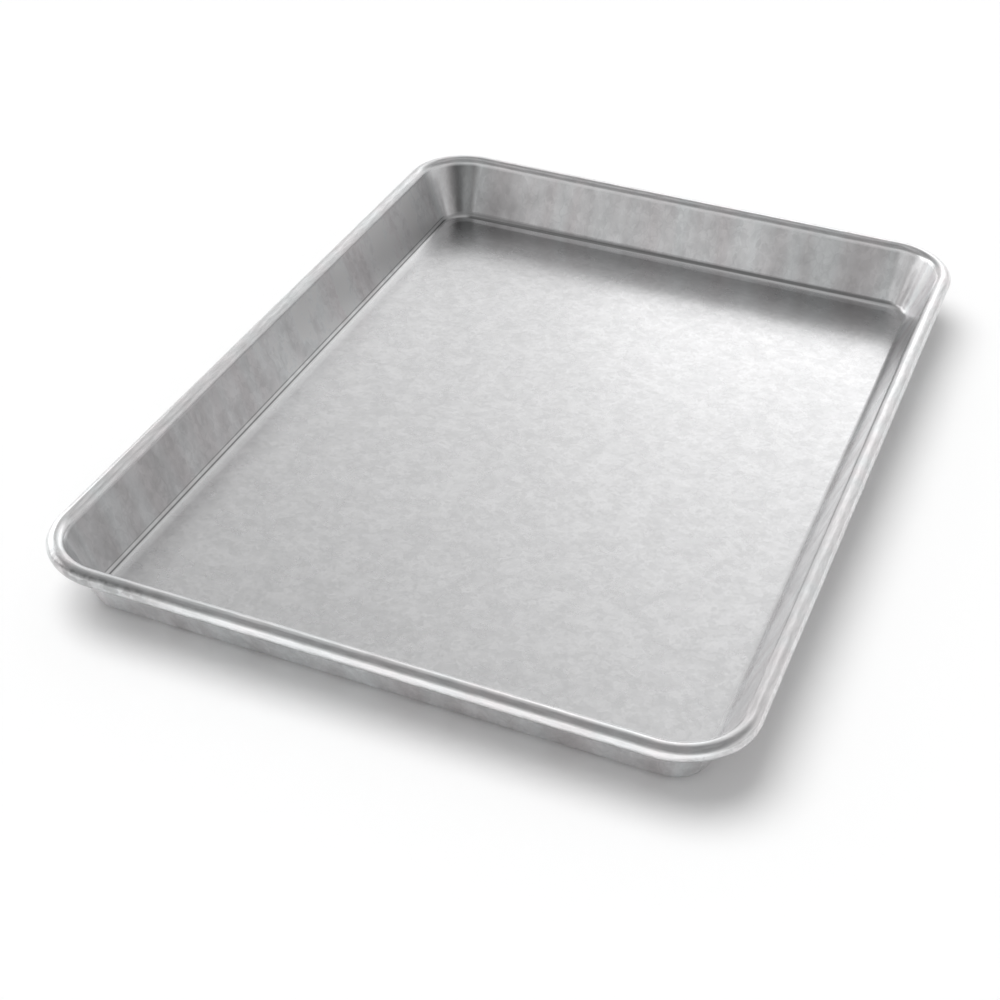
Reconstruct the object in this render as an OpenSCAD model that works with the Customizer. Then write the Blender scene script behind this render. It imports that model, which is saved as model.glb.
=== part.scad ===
// Jelly roll pan: a shallow oblong baking tray, drawn from one sheet of steel.
// The rim is rolled outward round a stiffening wire.
// Origin: centre of the base's underside. +Y runs along the long sides, +Z up.

/* [Pan] */
// Length over the rolled rim
pan_length = 330; // [220:1:660]
// Width over the rolled rim
pan_width = 241; // [160:1:460]
// Height from the underside of the base to the top of the rim
pan_height = 25.4; // [18:0.1:60]
// Thickness of the sheet
sheet = 0.8; // [0.5:0.05:1.2]

/* [Walls] */
// Plan radius of the corners, over the rim
rim_corner = 26; // [24:0.5:60]
// How far the foot of the walls stands in from the rim's outer edge
wall_inset = 14.8; // [10:0.1:20]
// Inside radius of the bend between the floor and the walls
foot_bend = 2; // [1:0.1:4]

/* [Rim] */
// Diameter of the wire in the rim
wire = 4.6; // [3:0.1:6]
// Clearance between the wire and the sheet rolled round it
wire_clearance = 0.08; // [0.05:0.01:0.15]
// Turn of the sheet round the wire, in degrees
curl_turn = 290; // [200:5:300]
// Gap between the cut ends of the wire, half way along one long side
wire_end_gap = 0.6; // [0.3:0.1:3]

/* [Hidden] */
$fn = 96;

// The section lies in a plane square to the rim. Its first coordinate is the
// distance out from the centre of a corner, its second the height above the
// base's underside. A negative multiple of into_pan goes out through the wall.
curl_inside = wire / 2 + wire_clearance;
curl_outside = curl_inside + sheet;
curl_at = [rim_corner - curl_outside, pan_height - curl_outside];

// The wall's inner face rises from the foot and touches the curl's outside
foot = [rim_corner - wall_inset, sheet];
to_curl = curl_at - foot;
wall_lean = atan2(to_curl[0], to_curl[1]) - asin(curl_outside / norm(to_curl));
into_pan = [-cos(wall_lean), sin(wall_lean)];
curl_start = curl_at + curl_outside * into_pan;

// The bend at the foot touches the floor and the wall
bend_at = [foot[0] - foot_bend * (1 - sin(wall_lean)) / cos(wall_lean), sheet + foot_bend];
bend_end = bend_at - foot_bend * into_pan;

// Half the lengths of the straight sides, which end at the corners' centres
half_w = pan_width / 2 - rim_corner;
half_l = pan_length / 2 - rim_corner;

// Flat stretches of the section run on inside the bent ones by this angle
lap = 6;

// A point inside a bent strip, half way through its thickness
function mid_strip(at, inside, a) = at + (inside + sheet / 2) * [cos(a), sin(a)];

// A bent strip: the sector of a ring that starts at angle a0 and turns by sweep
module bent_strip(at, inside, a0, sweep) {
    reach = 2 * (inside + sheet);
    steps = ceil(abs(sweep) / 45);
    rays = [for (i = [0:steps]) a0 + sweep * i / steps];
    translate(at) intersection() {
        difference() {
            circle(inside + sheet);
            circle(inside);
        }
        polygon([[0, 0], for (a = rays) reach * [cos(a), sin(a)]]);
    }
}

module floor_strip() {
    polygon([[0, 0], [bend_at[0], 0], mid_strip(bend_at, foot_bend, lap - 90), [bend_at[0], sheet], [0, sheet]]);
}

module wall_strip() {
    polygon([
        bend_end,
        mid_strip(bend_at, foot_bend, -wall_lean - lap),
        bend_end - sheet * into_pan,
        curl_start - sheet * into_pan,
        mid_strip(curl_at, curl_inside, 180 - wall_lean - lap),
        curl_start
    ]);
}

// The sheet's section, from a corner's centre out to its edge under the curl
module sheet_section() {
    floor_strip();
    bent_strip(bend_at, foot_bend, -90, 90 - wall_lean);
    wall_strip();
    bent_strip(curl_at, curl_inside, 180 - wall_lean, -curl_turn);
}

module wire_section() {
    translate(curl_at) circle(d = wire);
}

// Carries a section along a straight side that faces +X
module along_side(run) {
    rotate([90, 0, 0]) translate([0, 0, -run / 2]) linear_extrude(run) children();
}

// Carries a section round all four sides and corners
module round_pan() {
    for (turn = [0, 180]) rotate(turn) {
        translate([half_w, 0, 0]) along_side(2 * half_l) children();
        translate([0, half_l, 0]) rotate(90) along_side(2 * half_w) children();
        translate([half_w, half_l, 0]) rotate_extrude(angle = 90) children();
        translate([-half_w, half_l, 0]) rotate(90) rotate_extrude(angle = 90) children();
    }
}

// One sheet: the floor, the walls and the rim rolled out round the wire
module pan_shell() {
    color("silver") {
        round_pan() sheet_section();
        translate([-half_w, -half_l, 0]) cube([2 * half_w, 2 * half_l, sheet]);
    }
}

// The wire is bent to the rim's shape, and its cut ends face each other
module rim_wire() {
    color("dimgray") difference() {
        round_pan() wire_section();
        translate([half_w, -wire_end_gap / 2, 0]) cube([rim_corner, wire_end_gap, pan_height]);
    }
}

pan_shell();
rim_wire();
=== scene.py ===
import math

import bpy
import numpy as np
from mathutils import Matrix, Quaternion, Vector


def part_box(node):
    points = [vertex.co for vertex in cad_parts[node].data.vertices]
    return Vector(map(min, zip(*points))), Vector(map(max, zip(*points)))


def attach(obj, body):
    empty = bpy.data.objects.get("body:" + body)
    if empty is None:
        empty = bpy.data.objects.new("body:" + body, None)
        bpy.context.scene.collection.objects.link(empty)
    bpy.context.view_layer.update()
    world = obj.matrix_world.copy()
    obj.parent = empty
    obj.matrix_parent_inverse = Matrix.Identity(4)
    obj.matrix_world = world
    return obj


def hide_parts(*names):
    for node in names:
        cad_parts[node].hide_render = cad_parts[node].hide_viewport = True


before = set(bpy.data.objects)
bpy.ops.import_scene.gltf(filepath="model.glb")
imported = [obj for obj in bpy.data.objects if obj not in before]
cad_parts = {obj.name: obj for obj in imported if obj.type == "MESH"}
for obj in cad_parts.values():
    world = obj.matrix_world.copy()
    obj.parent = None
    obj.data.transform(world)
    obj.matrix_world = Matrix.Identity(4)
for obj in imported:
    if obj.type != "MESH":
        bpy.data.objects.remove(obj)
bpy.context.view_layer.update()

# Pan shell: one sheet of aluminised steel, drawn into a tray with leaning walls
# and rounded corners, its edge rolled outward round a wire. It is one closed
# skin: the section of the sheet, carried round the rectangle of the pan.
MM = 0.001
shell_low, shell_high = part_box("pan_shell")
wire_low, wire_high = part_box("rim_wire")
SHEET = 0.8 * MM
RIM_CORNER = 26 * MM
WALL_INSET = 14.8 * MM
FOOT_BEND = 3.4 * MM
CURL_TURN = math.radians(290)
LEAD_IN = 20 * MM
LEAD_TURN = math.radians(9)

STRAIGHT_X = shell_high.x - RIM_CORNER
STRAIGHT_Y = shell_high.y - RIM_CORNER
WIRE_HEIGHT = (wire_low.z + wire_high.z) / 2
CURL_OUTSIDE = shell_high.z - WIRE_HEIGHT
CURL_INSIDE = CURL_OUTSIDE - SHEET
CURL_AT = np.array([RIM_CORNER - CURL_OUTSIDE, WIRE_HEIGHT])
foot_to_curl = CURL_AT - np.array([RIM_CORNER - WALL_INSET, SHEET])
WALL_LEAN = (math.atan2(foot_to_curl[0], foot_to_curl[1])
             - math.asin(CURL_OUTSIDE / np.hypot(*foot_to_curl)))
CURL_START = math.pi - WALL_LEAN

CREASE_WIDTH = 0.2 * MM
SIDE_STEP = 3 * MM
CORNER_STEPS = 60
EVEN_SHARE = 0.35


def places_round_pan():
    """Places all the way round the pan. Along a side the section's origin
    slides and its direction out of the pan stays, and at a corner the origin
    stays and the direction turns by a quarter. Steps along a side are the mix
    of even ones and of 1.5 t - 0.5 t cubed, which are closer near corners.
    Gives the origins, the directions, the share of a corner, which is 0 on the
    sides and 4 t (1 - t) across each corner, and the distance gone along the
    rim."""
    corner = np.array([STRAIGHT_X, STRAIGHT_Y])
    origins, outward, cornered = [], [], []
    for quarter in range(4):
        start = math.pi / 2 * quarter
        facing = np.round([math.cos(start), math.sin(start)])
        ahead = np.round([-math.sin(start), math.cos(start)])
        reach = abs(facing @ corner)
        half_side = abs(ahead @ corner)
        steps = round(2 * half_side / SIDE_STEP)
        even = np.linspace(-1, 1, steps, endpoint=False)
        slide = half_side * (EVEN_SHARE * even + (1 - EVEN_SHARE) * (1.5 * even - 0.5 * even ** 3))
        turned = np.linspace(0, 1, CORNER_STEPS, endpoint=False)
        turn = start + math.pi / 2 * turned
        cornered += [np.zeros(steps), 4 * turned * (1 - turned)]
        origins += [facing * reach + slide[:, None] * ahead,
                    np.tile(facing * reach + ahead * half_side, (CORNER_STEPS, 1))]
        outward += [np.tile(facing, (steps, 1)),
                    np.stack([np.cos(turn), np.sin(turn)], 1)]
    origins, outward = np.vstack(origins), np.vstack(outward)
    edge = origins + RIM_CORNER * outward
    hops = np.hypot(*(np.roll(edge, -1, 0) - edge).T)
    return origins, outward, np.concatenate(cornered), np.cumsum(hops) - hops, hops.sum()


def arc(centre, radius, first, last, steps):
    """Points on a circle about a centre, from one angle to another."""
    angle = np.linspace(first, last, steps)
    return centre + radius * np.stack([np.cos(angle), np.sin(angle)], 1)


def between(first, last, steps):
    """Points on a straight line between two points, without these two."""
    return first + np.linspace(0, 1, steps + 2)[1:-1, None] * (last - first)


def sheet_section():
    """The sheet's section as one closed line, out along the upper face to the
    cut edge inside the curl and back along the lower face. The floor rises
    into the wall by a wide lead-in of a few degrees and then a tight bend. A
    row is the share of the floor's own size, the distance out, the height,
    marks that are 1 on the wall and on the curl's outer face, the place on the
    foot, which goes from -1 to 0 over the lead-in and on to 1 over the bend
    and is -1 elsewhere, and the angle round the curl, which is 0 on its
    outermost line."""
    bend_height = SHEET + LEAD_IN - (LEAD_IN - FOOT_BEND) * math.cos(LEAD_TURN)
    up_wall = np.array([math.sin(WALL_LEAN), math.cos(WALL_LEAN)])
    into_pan = np.array([-math.cos(WALL_LEAN), math.sin(WALL_LEAN)])
    curl_touch = CURL_AT + CURL_OUTSIDE * into_pan
    wall_centre = curl_touch + FOOT_BEND * into_pan
    bend_at = wall_centre + up_wall * (bend_height - wall_centre[1]) / up_wall[1]
    flat = -math.pi / 2
    tight = flat + LEAD_TURN
    lead_at = bend_at + (LEAD_IN - FOOT_BEND) * np.array([-math.sin(LEAD_TURN), math.cos(LEAD_TURN)])

    upper_lead = arc(lead_at, LEAD_IN, flat, tight, 9)[:-1]
    upper_bend = arc(bend_at, FOOT_BEND, tight, -WALL_LEAN, 20)
    upper_curl = arc(CURL_AT, CURL_OUTSIDE, CURL_START, CURL_START - CURL_TURN, 54)
    lower_curl = arc(CURL_AT, CURL_INSIDE, CURL_START - CURL_TURN, CURL_START, 22)
    lower_bend = arc(bend_at, FOOT_BEND + SHEET, -WALL_LEAN, tight, 7)
    lower_lead = arc(lead_at, LEAD_IN + SHEET, tight, flat, 4)[1:]
    above_crease = upper_bend[-1] + CREASE_WIDTH * up_wall
    upper_wall = np.vstack([above_crease, between(above_crease, upper_curl[0], 16)])
    lower_wall = between(lower_curl[-1], lower_bend[0], 5)
    cut_edge = between(upper_curl[-1], lower_curl[0], 2)
    foot_in = upper_lead[0, 0]
    upper_floor = np.linspace(0, 1, 20)[1:]
    upper_rim_floor = np.linspace(0.2, 1, 8)[:-1] * foot_in
    lower_floor = np.linspace(1, 0, 12)[:-1]

    stretches = [np.column_stack([upper_floor, upper_floor * 0.2 * foot_in, np.full(19, SHEET)]),
                 np.column_stack([np.ones(6), upper_rim_floor[1:], np.full(6, SHEET)])]
    for bent in (upper_lead, upper_bend, upper_wall, upper_curl, cut_edge, lower_curl, lower_wall, lower_bend,
                 lower_lead):
        stretches.append(np.column_stack([np.ones(len(bent)), bent]))
    stretches.append(np.column_stack([lower_floor, lower_floor * foot_in, np.zeros(11)]))
    counts = [len(stretch) for stretch in stretches]
    on_wall = np.repeat([0, 0, 0, 1, 1, 1, 1, 1, 1, 1, 0, 0], counts).astype(float)
    first_bend = sum(counts[:3])
    on_wall[first_bend:first_bend + len(upper_bend)] = np.linspace(0, 1, len(upper_bend))
    on_curl = np.repeat([0, 0, 0, 0, 0, 1, 0, 0, 0, 0, 0, 0], counts).astype(float)
    foot_place = np.full(len(on_wall), -1.0)
    foot_place[first_bend - len(upper_lead):first_bend] = np.linspace(-1, 0, len(upper_lead), endpoint=False)
    foot_place[first_bend:first_bend + len(upper_bend)] = np.linspace(0, 1, len(upper_bend))
    curl_angle = np.zeros(len(on_wall))
    curl_angle[on_curl > 0] = np.linspace(CURL_START, CURL_START - CURL_TURN, len(upper_curl))
    return np.column_stack([np.vstack(stretches), on_wall, on_curl, foot_place, curl_angle])


def closed_skin(name, rings, first_tip, last_tip):
    """A mesh from rings of points, each ring joined to the next by
    four-sided faces, with the first and the last ring closed by a fan of
    triangles to a tip."""
    ring_count, around = rings.shape[:2]
    points = np.vstack([rings.reshape(-1, 3), first_tip, last_tip])
    index = np.arange(ring_count * around).reshape(ring_count, around)
    following = np.roll(index, -1, 1)
    quads = np.stack([index[:-1], index[1:], following[1:], following[:-1]], -1).reshape(-1, 4)
    first_fan = np.stack([np.full(around, len(points) - 2), index[0], following[0]], 1)
    last_fan = np.stack([np.full(around, len(points) - 1), following[-1], index[-1]], 1)
    mesh = bpy.data.meshes.new(name)
    mesh.from_pydata(points.tolist(), [], quads.tolist() + first_fan.tolist() + last_fan.tolist())
    mesh.shade_smooth()
    mesh.set_sharp_from_angle(angle=math.radians(50))
    piece = bpy.data.objects.new(name, mesh)
    bpy.context.scene.collection.objects.link(piece)
    return piece


def mark(piece, name, values):
    """Stores a number or a vector on each point of a piece, for its material."""
    kind, field = ("FLOAT_VECTOR", "vector") if values.ndim == 2 else ("FLOAT", "value")
    layer = piece.data.attributes.new(name, kind, "POINT")
    layer.data.foreach_set(field, values.astype(np.float32).ravel())


def waves(position, lengths, turns):
    """A gentle uneven curve from -1 to 1: the mean of sine waves of several
    lengths, each started at its own part of a turn."""
    phase = 2 * math.pi * (position[..., None] / np.array(lengths) + np.array(turns))
    return np.sin(phase).mean(-1)


def ease(value):
    """Goes smoothly from 0 to 1 as the value does: 3 t squared - 2 t cubed."""
    share = np.clip(value, 0, 1)
    return share ** 2 * (3 - 2 * share)


# The foot has painted shade, but for the side that faces +X: two thin dark
# lines part way up its bend, and one broad dark line on the side that faces +Y,
# where it drifts up the bend from -X to +X. Below the lines the foot has a
# painted highlight. None of this shows much in the corners.
origins, outward, cornered, gone, round_rim = places_round_pan()
section = sheet_section()
share, out, height, on_wall, on_curl, foot_place, curl_angle = section.T[:, :, None]
rim_x, rim_y = (origins + RIM_CORNER * outward).T
straight = ease(1.6 - 2 * cornered)
at_back = ease(2 * outward[:, 1] - 0.9)
at_right = ease(2 * outward[:, 0] - 0.9)
drift = np.clip((rim_x + 0.083) / 0.153, -0.2, 1.2)
broad_at = 0.30 + 0.42 * drift
above_line = 0.25 * ease((foot_place - broad_at - 0.1) / 0.1)
broad_line = np.maximum((0.80 - 0.22 * drift) * ease((0.28 - np.abs(foot_place - broad_at)) / 0.12), above_line)
highlight_below = ease((broad_at - 0.20 - foot_place) / 0.1) * ease((foot_place + 0.75 - 0.55 * ease(drift)) / 0.15)
low_line = ease(1 - np.abs(foot_place - 0.42) / 0.13)
high_line = 0.75 * ease(1 - np.abs(foot_place - 0.86) / 0.10)
thin_lines = np.maximum(low_line, high_line) * (1 - at_right)
thin_highlight = 0.5 * (1 - at_right) * ease((0.25 - foot_place) / 0.1) * ease((foot_place + 0.9) / 0.2)
foot_shade = straight * (thin_lines + at_back * (broad_line - thin_lines))
foot_highlight = straight * (thin_highlight + at_back * (highlight_below - thin_highlight))

# The rim's outer face has painted shade from its outermost line down, from
# higher up along the two long sides, and is darker all over near the corner at
# -X, -Y. Along the side that faces -Y the rolled edge is pressed a little flat below.
PRESSED = 0.45 * MM
at_front = ease(-2 * outward[:, 1] - 0.9)
rim_shade_from = np.radians(6 + 40 * ease(np.abs(outward[:, 0])))
darker_corner = at_front * ease((-0.045 - rim_x) / 0.045) * ease((math.radians(80) - curl_angle) / math.radians(30))
outer_rim_shading = on_curl * np.maximum(ease((rim_shade_from - curl_angle) / math.radians(24)), 1.6 * darker_corner)
pressed = (PRESSED * at_front * on_curl * ease((math.radians(42) - curl_angle) / math.radians(50))
           * ease((math.radians(90) + curl_angle) / math.radians(50)))
out = out - pressed * np.cos(curl_angle)
height = height - pressed * np.sin(curl_angle)

# Painted light and shade on the inner walls: the inside of the corner at -X, +Y
# is darker, with a dark upright band, the one at +X, +Y pale, and the one at
# -X, -Y a little darker. The side that faces +X is painted pale, and is smoother
# but near that corner. The side that faces -X goes from dark to pale towards +Y,
# and the side that faces +Y is darker at both its ends.
turned = np.degrees(np.arctan2(outward[:, 1], outward[:, 0])) % 90 / 90
far_right = (outward > 0).all(1)
far_left = (outward[:, 0] < 0) & (outward[:, 1] > 0)
near_left = (outward < 0).all(1)
inside = (np.arange(len(section)) < len(section) // 2)[:, None]
rubbed = at_right * ease((0.09 - rim_y) / 0.06)
at_left = ease(-2 * outward[:, 0] - 0.9)
pale = np.maximum(at_right, ease(3 * cornered) * far_right)
side_tone = at_left * (0.22 - 0.47 * ease((rim_y + 0.13) / 0.17)) - 0.2 * pale
back_tone = 0.03 + 0.20 * ease((rim_x - 0.02) / 0.05) + 0.22 * ease((-0.06 - rim_x) / 0.03)
upright_band = ease(1 - np.abs(turned - 0.42) / 0.2)
corner_tone = ease(2 * cornered) * (0.12 * near_left + far_left * (0.36 - 0.24 * turned + 0.32 * upright_band))
painted_wall_shading = on_wall * inside * (side_tone + at_back * back_tone + corner_tone)

# The walls bow by a tenth of a millimetre between the corners and are fluted
# in them, where the drawing gathered the sheet. The rolled rim is a little
# uneven, and the floor rises and falls a little.
WALL_BOW = 0.12 * MM
RIM_UNEVEN = 0.05 * MM
FLOOR_RISE = 0.12 * MM
FLUTE = 0.15 * MM
wall_bow = WALL_BOW * waves(gone, [round_rim / count for count in (5, 8, 13, 21)], (0.1, 0.62, 0.35, 0.8))
rim_shift = RIM_UNEVEN * waves(gone, [round_rim / count for count in (17, 29, 41, 58)], (0.3, 0.05, 0.71, 0.45))
low_wall = np.clip((height - SHEET) / (WIRE_HEIGHT - SHEET), 0, 1)
wall_middle = on_wall * (1 - on_curl) * np.sin(np.pi * low_wall)
near_rim = on_wall * np.clip(low_wall * 2.5 - 1.5, 0, 1)
wall_bow += FLUTE * cornered * waves(gone, [round_rim / count for count in (106, 149)], (0.15, 0.4))

rings = np.empty((len(section), len(gone), 3))
moved_out = out + wall_middle * wall_bow + near_rim * rim_shift
rings[:, :, :2] = share[..., None] * origins + moved_out[..., None] * outward
rings[:, :, 2] = height
floor_x, floor_y = rings[:, :, 0], rings[:, :, 1]
floor_waves = (waves(floor_x + 0.3 * floor_y, (0.090, 0.061, 0.137), (0.2, 0.7, 0.4))
               * waves(floor_y - 0.2 * floor_x, (0.110, 0.074, 0.171), (0.6, 0.1, 0.9)))
inner_floor = np.clip((1 - share) * 6, 0, 1)
rings[:, :, 2] += FLOOR_RISE * inner_floor * (0.5 + 0.5 * floor_waves)

# Along the foot of the side that faces +Y the floor is darkened with painted shade.
on_top = (height > SHEET / 2) & (height < 2 * SHEET)
back_floor_shade = (0.42 - 0.20 * drift) * on_top * ease((rings[:, :, 1] - 0.133) / 0.010) * ease((-0.75 - foot_place) / 0.2)
foot_shade = np.maximum(foot_shade, back_floor_shade)
upper_tip = rings[0].mean(0)
lower_tip = rings[-1].mean(0)
pan_shell = closed_skin("pan_shell_skin", rings, upper_tip, lower_tip)

way_down = np.concatenate([[0], np.cumsum(np.hypot(*np.diff(section[:, 1:3], axis=0).T))])
wrap = np.empty((len(section), len(gone), 3))
wrap[:, :, 0] = round_rim / (2 * math.pi) * np.cos(2 * math.pi * gone / round_rim)
wrap[:, :, 1] = round_rim / (2 * math.pi) * np.sin(2 * math.pi * gone / round_rim)
wrap[:, :, 2] = way_down[:, None]
mark(pan_shell, "wrap", np.vstack([wrap.reshape(-1, 3), np.zeros((2, 3))]))
# Marks for the material, among them the painted shade and highlight at the foot, the painted shade on the rim's outer
# face and the painted light and shade on the walls.
for name, values in (("wall", on_wall), ("curl", on_curl), ("foot_shade", foot_shade), ("foot_highlight", foot_highlight),
                     ("outer_rim_shade", outer_rim_shading), ("wall_shading", painted_wall_shading), ("rubbed", on_wall * rubbed)):
    mark(pan_shell, name, np.append(np.broadcast_to(values, (len(section), len(gone))), [0, 0]))


def new_material(name):
    """A material with only its output and a Principled shader."""
    material = bpy.data.materials.new(name)
    material.use_nodes = True
    tree = material.node_tree
    tree.nodes.clear()
    output = tree.nodes.new("ShaderNodeOutputMaterial")
    shader = tree.nodes.new("ShaderNodeBsdfPrincipled")
    tree.links.new(shader.outputs["BSDF"], output.inputs["Surface"])
    return material, tree, shader


def node(tree, kind, links=None, values=None, **settings):
    """Adds a node, joins some of its inputs to outputs, and sets the values
    of other inputs and its settings."""
    added = tree.nodes.new("ShaderNode" + kind)
    for key, value in settings.items():
        setattr(added, key, value)
    for key, value in (values or {}).items():
        added.inputs[key].default_value = value
    for key, source in (links or {}).items():
        tree.links.new(source, added.inputs[key])
    return added


def metal_grain_group():
    """The grain of bare sheet and wire. The place times the grains per metre
    is blown about by noise, a little and a lot. Fine flakes are cells with a
    tone each in the first, and coarse flakes and the lines between cells lie
    in the second. Tone is 0.6 fine and 0.4 coarse flakes plus the lines, light
    in some patches and dark in others. Cloud is soft patches, and Height a
    smooth ripple."""
    group = bpy.data.node_groups.new("metal_grain", "ShaderNodeTree")
    for name, kind in (("Place", "Vector"), ("Grains per Metre", "Float"), ("Clouds per Metre", "Float")):
        group.interface.new_socket(name, in_out="INPUT", socket_type="NodeSocket" + kind)
    for name in ("Tone", "Cloud", "Height"):
        group.interface.new_socket(name, in_out="OUTPUT", socket_type="NodeSocketFloat")
    into = group.nodes.new("NodeGroupInput")
    outof = group.nodes.new("NodeGroupOutput")
    place, grains, patches = into.outputs[0], into.outputs[1], into.outputs[2]
    counted = node(group, "VectorMath", {0: place, "Scale": grains}, operation="SCALE").outputs[0]
    blown = []
    for scale, reach in ((0.8, 1.15), (0.45, 2.6)):
        wind = node(group, "TexNoise", {"Vector": counted}, {"Scale": scale, "Detail": 2.0})
        centred = node(group, "VectorMath", {0: wind.outputs["Color"]}, {1: (0.5, 0.5, 0.5)}, operation="SUBTRACT")
        push = node(group, "VectorMath", {0: centred.outputs[0]}, {"Scale": reach}, operation="SCALE")
        blown.append(node(group, "VectorMath", {0: counted, 1: push.outputs[0]}, operation="ADD").outputs[0])
    fine = node(group, "TexVoronoi", {"Vector": blown[0]}, {"Scale": 1.0})
    fine_tone = node(group, "SeparateColor", {0: fine.outputs["Color"]})
    coarse = node(group, "TexVoronoi", {"Vector": blown[1]}, {"Scale": 0.44})
    coarse_tone = node(group, "SeparateColor", {0: coarse.outputs["Color"]})
    flakes = node(group, "Mix", {"A": fine_tone.outputs[0], "B": coarse_tone.outputs[0]}, {"Factor": 0.4})
    edges = node(group, "TexVoronoi", {"Vector": blown[1]}, {"Scale": 0.63}, feature="DISTANCE_TO_EDGE")
    lines = node(group, "MapRange", {"Value": edges.outputs["Distance"]},
                 {"From Min": 0.0, "From Max": 0.12, "To Min": 1.0, "To Max": 0.0})
    choice = node(group, "TexNoise", {"Vector": counted}, {"Scale": 0.23, "Detail": 1.0})
    strength = node(group, "MapRange", {"Value": choice.outputs[0]},
                    {"From Min": 0.42, "From Max": 0.62, "To Min": -0.45, "To Max": 0.45})
    tone = node(group, "Math", {0: lines.outputs[0], 1: strength.outputs[0], 2: flakes.outputs[0]},
                operation="MULTIPLY_ADD")
    clouds = node(group, "TexNoise", {"Vector": place, "Scale": patches}, {"Detail": 4.0, "Roughness": 0.55})
    ripple = node(group, "TexNoise", {"Vector": counted}, {"Scale": 0.5, "Detail": 2.0})
    for source, socket in ((tone, "Tone"), (clouds, "Cloud"), (ripple, "Height")):
        group.links.new(source.outputs[0], outof.inputs[socket])
    return group


metal_grain = metal_grain_group()


def grain(tree, place, grains, clouds):
    """Places the metal grain in a material."""
    placed = tree.nodes.new("ShaderNodeGroup")
    placed.node_tree = metal_grain
    tree.links.new(place, placed.inputs["Place"])
    placed.inputs["Grains per Metre"].default_value = grains
    placed.inputs["Clouds per Metre"].default_value = clouds
    return placed


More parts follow.
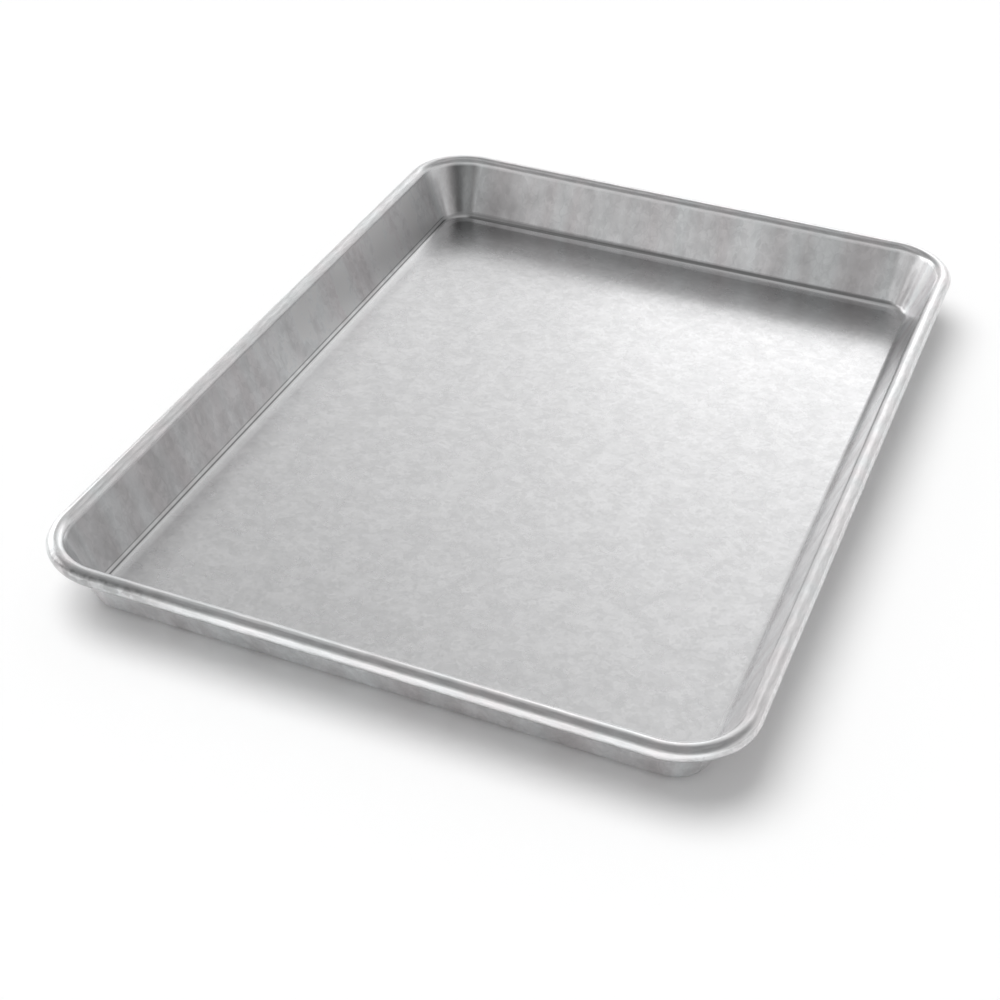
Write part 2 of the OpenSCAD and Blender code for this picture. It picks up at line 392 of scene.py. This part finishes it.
def aluminised_sheet():
    """Bare hot-dipped sheet. The floor has its grain in Object coordinates.
    The drawn walls are duller, in the wrapped coordinates of the section, with
    pale columns that run up and down and a warmer grey between them, and the
    rolled rim has streaks along it. The foot carries painted shade in dark
    lines and a painted highlight below them, the rim's outer face painted
    shade, and the walls painted light and shade by side and corner. Bump
    heights are micrometres."""
    material, tree, shader = new_material("aluminised_sheet")
    shader.inputs["Metallic"].default_value = 1.0
    place = node(tree, "TexCoord").outputs["Object"]
    wrapped = node(tree, "Attribute", attribute_name="wrap").outputs["Vector"]
    wall = node(tree, "Attribute", attribute_name="wall").outputs["Fac"]
    curl = node(tree, "Attribute", attribute_name="curl").outputs["Fac"]
    # The marks read here carry painted shade at the foot and on the rim's outer face, a painted highlight at the foot,
    # and painted light and shade on the walls.
    foot_shade_mask = node(tree, "Attribute", attribute_name="foot_shade").outputs["Fac"]
    outer_rim_shade = node(tree, "Attribute", attribute_name="outer_rim_shade").outputs["Fac"]
    wall_shading = node(tree, "Attribute", attribute_name="wall_shading").outputs["Fac"]
    foot_highlight = node(tree, "Attribute", attribute_name="foot_highlight").outputs["Fac"]
    rubbed = node(tree, "Attribute", attribute_name="rubbed").outputs["Fac"]
    drawn = node(tree, "VectorMath", {0: wrapped}, {1: (1.0, 1.0, 0.7)}, operation="MULTIPLY")
    upright = node(tree, "VectorMath", {0: wrapped}, {1: (1.0, 1.0, 0.12)}, operation="MULTIPLY")
    along = node(tree, "VectorMath", {0: wrapped}, {1: (0.3, 0.3, 2.0)}, operation="MULTIPLY")
    floor_grain = grain(tree, place, 520.0, 60.0)
    wall_grain = grain(tree, drawn.outputs[0], 420.0, 110.0)
    column = node(tree, "TexNoise", {"Vector": upright.outputs[0]}, {"Scale": 80.0, "Detail": 2.0, "Roughness": 0.5})
    streak = node(tree, "TexNoise", {"Vector": along.outputs[0]}, {"Scale": 420.0, "Detail": 3.0, "Roughness": 0.6})
    pale = node(tree, "MapRange", {"Value": column.outputs[0]}, {"From Min": 0.35, "From Max": 0.65})
    floor_tone = node(tree, "MapRange", {"Value": floor_grain.outputs["Tone"]},
                      {"From Min": 0.0, "From Max": 1.0, "To Min": 0.782, "To Max": 0.898})
    floor_cloud = node(tree, "MapRange", {"Value": floor_grain.outputs["Cloud"]},
                       {"From Min": 0.3, "From Max": 0.7, "To Min": 0.99, "To Max": 1.01})
    wall_tone = node(tree, "MapRange", {"Value": wall_grain.outputs["Tone"]},
                     {"From Min": 0.0, "From Max": 1.0, "To Min": 0.705, "To Max": 0.835})
    wall_cloud = node(tree, "MapRange", {"Value": wall_grain.outputs["Cloud"]},
                      {"From Min": 0.3, "From Max": 0.7, "To Min": 0.90, "To Max": 1.10})
    wall_pale = node(tree, "MapRange", {"Value": pale.outputs[0]}, {"To Min": 0.90, "To Max": 1.10})
    rim_tone = node(tree, "MapRange", {"Value": streak.outputs[0]},
                    {"From Min": 0.3, "From Max": 0.7, "To Min": 0.77, "To Max": 0.96})
    floor_light = node(tree, "Math", {0: floor_tone.outputs[0], 1: floor_cloud.outputs[0]}, operation="MULTIPLY")
    wall_part = node(tree, "Math", {0: wall_tone.outputs[0], 1: wall_cloud.outputs[0]}, operation="MULTIPLY")
    # Painted light and shade on the inner walls: their colour is times one minus the mark, darker where it is above 0
    # and paler where below.
    wall_shading_tone = node(tree, "Math", {1: wall_shading}, {0: 1.0}, operation="SUBTRACT")
    wall_shade = node(tree, "Math", {0: wall_pale.outputs[0], 1: wall_shading_tone.outputs[0]}, operation="MULTIPLY")
    wall_light = node(tree, "Math", {0: wall_part.outputs[0], 1: wall_shade.outputs[0]}, operation="MULTIPLY")
    # Painted shade: the rim's outer face is darkened by 0.19 to 0.34 times its mark, which varies with the grain.
    rim_shade_depth = node(tree, "MapRange", {"Value": floor_grain.outputs["Tone"]},
                       {"From Min": 0.2, "From Max": 0.8, "To Min": -0.34, "To Max": -0.19})
    rim_shade_tone = node(tree, "Math", {0: outer_rim_shade, 1: rim_shade_depth.outputs[0]}, {2: 1.0}, operation="MULTIPLY_ADD")
    rim_light = node(tree, "Math", {0: rim_tone.outputs[0], 1: rim_shade_tone.outputs[0]}, operation="MULTIPLY")
    flat_light = node(tree, "Mix", {"Factor": wall, "A": floor_light.outputs[0], "B": wall_light.outputs[0]})
    light = node(tree, "Mix", {"Factor": curl, "A": flat_light.outputs[0], "B": rim_light.outputs[0]})
    # Painted highlight: the foot's colour is lifted towards 0.93 below its dark lines.
    bright = node(tree, "Mix", {"Factor": foot_highlight, "A": light.outputs[0]}, {"B": 0.93})
    # Painted shade: the colour is pulled towards 0.2 along the foot's lines and on the floor by the foot of the +Y
    # side.
    shaded = node(tree, "Mix", {"Factor": foot_shade_mask, "A": bright.outputs[0]}, {"B": 0.2})
    between = node(tree, "Math", {1: pale.outputs[0]}, {0: 0.65}, operation="SUBTRACT")
    warm = node(tree, "Math", {0: between.outputs[0], 1: wall}, operation="MULTIPLY")
    warmth = node(tree, "Math", {0: warm.outputs[0]}, {1: 0.045, 2: 1.0}, operation="MULTIPLY_ADD")
    red = node(tree, "Math", {0: shaded.outputs[0], 1: warmth.outputs[0]}, operation="MULTIPLY")
    blue = node(tree, "Math", {0: shaded.outputs[0]}, {1: 1.008}, operation="MULTIPLY")
    colour = node(tree, "CombineColor", {"Red": red.outputs[0], "Green": shaded.outputs[0],
                                         "Blue": blue.outputs[0]})
    tree.links.new(colour.outputs[0], shader.inputs["Base Color"])
    floor_rough = node(tree, "MapRange", {"Value": floor_grain.outputs["Cloud"]},
                       {"From Min": 0.3, "From Max": 0.7, "To Min": 0.28, "To Max": 0.26})
    wall_rough = node(tree, "MapRange", {"Value": wall_grain.outputs["Cloud"]},
                      {"From Min": 0.3, "From Max": 0.7, "To Min": 0.36, "To Max": 0.31})
    smoother = node(tree, "Math", {0: rubbed, 2: wall_rough.outputs[0]}, {1: -0.1}, operation="MULTIPLY_ADD")
    flat = node(tree, "Mix", {"Factor": wall, "A": floor_rough.outputs[0], "B": smoother.outputs[0]})
    rough = node(tree, "Mix", {"Factor": curl, "A": flat.outputs[0]}, {"B": 0.25})
    tree.links.new(rough.outputs[0], shader.inputs["Roughness"])
    floor_height = node(tree, "Math", {0: floor_grain.outputs["Height"]}, {1: 5.0}, operation="MULTIPLY")
    wall_height = node(tree, "Math", {0: wall_grain.outputs["Height"]}, {1: 20.0}, operation="MULTIPLY")
    height = node(tree, "Mix", {"Factor": wall, "A": floor_height.outputs[0], "B": wall_height.outputs[0]})
    bump = node(tree, "Bump", {"Height": height.outputs[0]}, {"Distance": 0.000001})
    tree.links.new(bump.outputs[0], shader.inputs["Normal"])
    return material


pan_shell.data.materials.append(aluminised_sheet())
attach(pan_shell, "root")
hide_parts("pan_shell")

# Rim wire: one length of drawn steel wire, bent to the shape of the rim before
# the sheet is rolled over it. Its two cut ends face each other inside the
# curl, half way along the side that faces +X.
WIRE_END_GAP = 0.6 * MM
WIRE_SIDES = 24
END_CHAMFER = 0.3 * MM


def wire_rings():
    """Rings of the wire from one cut end to the other. The path is the rim's
    own way round, started beside the gap, and its first and last rings are
    smaller, which chamfers the ends."""
    path = origins + CURL_AT[0] * outward
    beside_gap = int(np.argmin(np.abs(path[:, 1]) + 10 * np.abs(path[:, 0] - path[:, 0].max())))
    path, across = np.roll(path, -beside_gap, 0), np.roll(outward, -beside_gap, 0)
    clear = np.abs(path[:, 1]) + 10 * np.abs(path[:, 0] - path[0, 0]) > WIRE_END_GAP
    ends = np.array([WIRE_END_GAP / 2, WIRE_END_GAP / 2 + END_CHAMFER])
    side = path[:, 0].max()
    path = np.vstack([np.column_stack([[side, side], ends]), path[clear], np.column_stack([[side, side], -ends[::-1]])])
    across = np.vstack([across[:1], across[:1], across[clear], across[:1], across[:1]])
    radius = np.full(len(path), (wire_high.z - wire_low.z) / 2)
    radius[[0, -1]] -= END_CHAMFER
    angle = np.linspace(0, 2 * math.pi, WIRE_SIDES, endpoint=False)
    rings = np.empty((len(path), WIRE_SIDES, 3))
    reach = radius[:, None] * np.cos(angle)
    rings[:, :, :2] = path[:, None] + reach[..., None] * across[:, None]
    rings[:, :, 2] = WIRE_HEIGHT - radius[:, None] * np.sin(angle)
    return rings


def drawn_wire():
    """Plain drawn steel wire: a dull grey metal with a fine grain."""
    material, tree, shader = new_material("wire_steel")
    shader.inputs["Metallic"].default_value = 1.0
    place = node(tree, "TexCoord").outputs["Object"]
    fine = grain(tree, place, 900.0, 200.0)
    colour = node(tree, "ValToRGB", {"Fac": fine.outputs["Tone"]})
    colour.color_ramp.elements[0].color = (0.33, 0.33, 0.34, 1)
    colour.color_ramp.elements[1].color = (0.52, 0.51, 0.50, 1)
    tree.links.new(colour.outputs["Color"], shader.inputs["Base Color"])
    rough = node(tree, "MapRange", {"Value": fine.outputs["Cloud"]}, {"To Min": 0.5, "To Max": 0.35})
    tree.links.new(rough.outputs[0], shader.inputs["Roughness"])
    bump = node(tree, "Bump", {"Height": fine.outputs["Height"]}, {"Distance": 0.00001})
    tree.links.new(bump.outputs[0], shader.inputs["Normal"])
    return material


wire = wire_rings()
rim_wire = closed_skin("rim_wire_round", wire, wire[0].mean(0), wire[-1].mean(0))
rim_wire.data.materials.append(drawn_wire())
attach(rim_wire, "root")
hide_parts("rim_wire")

# Table: a plain matt white surface under the pan, which keeps its shadow.
TABLE_SIZE = 12


def white_table():
    """Matt white, with no shine."""
    material, tree, shader = new_material("white_table")
    shader.inputs["Base Color"].default_value = (0.97, 0.97, 0.97, 1)
    shader.inputs["Roughness"].default_value = 0.9
    shader.inputs["Specular IOR Level"].default_value = 0.0
    return material


bpy.ops.mesh.primitive_plane_add(size=TABLE_SIZE)
table = bpy.context.object
table.name = "white_table"
table.data.materials.append(white_table())

# Studio: a pale room that is mid grey at eye level, dimmer overhead and bright
# low down behind the pan. A large soft lamp overhead makes the pan's shadow,
# and two soft boxes behind the pan show in its metal.
EYE_LEVEL = 0.645
OVERHEAD = 0.28
GLOW = 0.60
GLOW_TIGHT = 13.8
GLOW_TOWARD = Vector((-0.08, 1.0, 0.52))
ROOM_FILL = 0.50


def studio_room():
    """What shiny surfaces see is the level for the height of their gaze, which
    falls sooner towards the camera's side, -Y, than behind the pan, plus a glow that falls away from its middle as e to the power of tightness
    times (cosine minus 1). The camera sees white and the table a plain fill."""
    world = bpy.data.worlds.new("studio_room")
    world.use_nodes = True
    tree = world.node_tree
    tree.nodes.clear()
    toward = node(tree, "TexCoord").outputs["Generated"]
    height = node(tree, "VectorMath", {0: toward}, {1: (0.0, -0.16, 1.0)}, operation="DOT_PRODUCT")
    level = node(tree, "MapRange", {"Value": height.outputs["Value"]},
                 {"From Min": 0.217, "From Max": 0.70, "To Min": EYE_LEVEL, "To Max": OVERHEAD},
                 interpolation_type="SMOOTHSTEP")
    cosine = node(tree, "VectorMath", {0: toward}, {1: GLOW_TOWARD.normalized()}, operation="DOT_PRODUCT")
    fall = node(tree, "Math", {0: cosine.outputs["Value"]}, {1: 1.0}, operation="SUBTRACT")
    tight = node(tree, "Math", {0: fall.outputs[0]}, {1: GLOW_TIGHT}, operation="MULTIPLY")
    power = node(tree, "Math", {0: tight.outputs[0]}, operation="EXPONENT")
    glow = node(tree, "Math", {0: power.outputs[0], 2: level.outputs[0]}, {1: GLOW}, operation="MULTIPLY_ADD")
    rays = node(tree, "LightPath")
    white = {"Color": (1, 1, 1, 1)}
    shiny = node(tree, "Background", {"Strength": glow.outputs[0]}, white)
    fill = node(tree, "Background", None, {**white, "Strength": ROOM_FILL})
    seen = node(tree, "Background", None, white)
    for_shiny = node(tree, "MixShader", {0: rays.outputs["Is Glossy Ray"], 1: fill.outputs[0], 2: shiny.outputs[0]})
    for_camera = node(tree, "MixShader", {0: rays.outputs["Is Camera Ray"], 1: for_shiny.outputs[0],
                                          2: seen.outputs[0]})
    output = tree.nodes.new("ShaderNodeOutputWorld")
    tree.links.new(for_camera.outputs[0], output.inputs["Surface"])
    return world


bpy.context.scene.world = studio_room()


def soft_box(name, at, width, tall, level):
    """A soft box that faces the pan and shows only in shiny surfaces. Its
    power is its level times its area times pi, so that they see that level."""
    data = bpy.data.lights.new(name, "AREA")
    data.shape = "RECTANGLE"
    data.size = width
    data.size_y = tall
    data.energy = level * math.pi * width * tall
    lamp = bpy.data.objects.new(name, data)
    lamp.location = at
    lamp.rotation_mode = "QUATERNION"
    lamp.rotation_quaternion = Vector(at).to_track_quat("Z", "Y")
    lamp.visible_camera = False
    lamp.visible_diffuse = False
    bpy.context.scene.collection.objects.link(lamp)


soft_box("back_box", (-0.10, 1.05, 0.50), 0.44, 0.155, 0.61)
soft_box("side_box", (-0.72, 0.36, 0.45), 0.30, 0.27, 0.8)
soft_box("top_box", (-0.10, 0.175, 0.55), 0.60, 0.25, 0.15)
soft_box("front_card", (-0.10, -0.60, 0.20), 0.90, 0.40, 0.157)
soft_box("left_card", (-0.85, 0.05, 0.30), 0.80, 0.45, 0.95)

OVERHEAD_LAMP = Vector((-0.35, 0.0, 1.0))
overhead_data = bpy.data.lights.new("overhead_lamp", "SUN")
overhead_data.energy = 1.80
overhead_data.angle = math.radians(47.4)
overhead = bpy.data.objects.new("overhead_lamp", overhead_data)
overhead.rotation_mode = "QUATERNION"
overhead.rotation_quaternion = OVERHEAD_LAMP.to_track_quat("Z", "Y")
overhead.visible_glossy = False
bpy.context.scene.collection.objects.link(overhead)

# Camera: above and to the right of one short side, with a slight roll.
CAMERA_AT = Vector((186.64, -519.33, 382.39)) * MM
CAMERA_AIM = Vector((-2.08, -42.47, 0)) * MM
CAMERA_ROLL = math.radians(1.508)
camera_data = bpy.data.cameras.new("camera")
camera_data.lens = 64.09
camera_data.sensor_width = 36
camera = bpy.data.objects.new("camera", camera_data)
camera.location = CAMERA_AT
camera.rotation_mode = "QUATERNION"
look = (CAMERA_AIM - CAMERA_AT).to_track_quat("-Z", "Y")
camera.rotation_quaternion = look @ Quaternion((0, 0, 1), CAMERA_ROLL)
bpy.context.scene.collection.objects.link(camera)
bpy.context.scene.camera = camera

bpy.context.scene.view_settings.view_transform = "Standard"
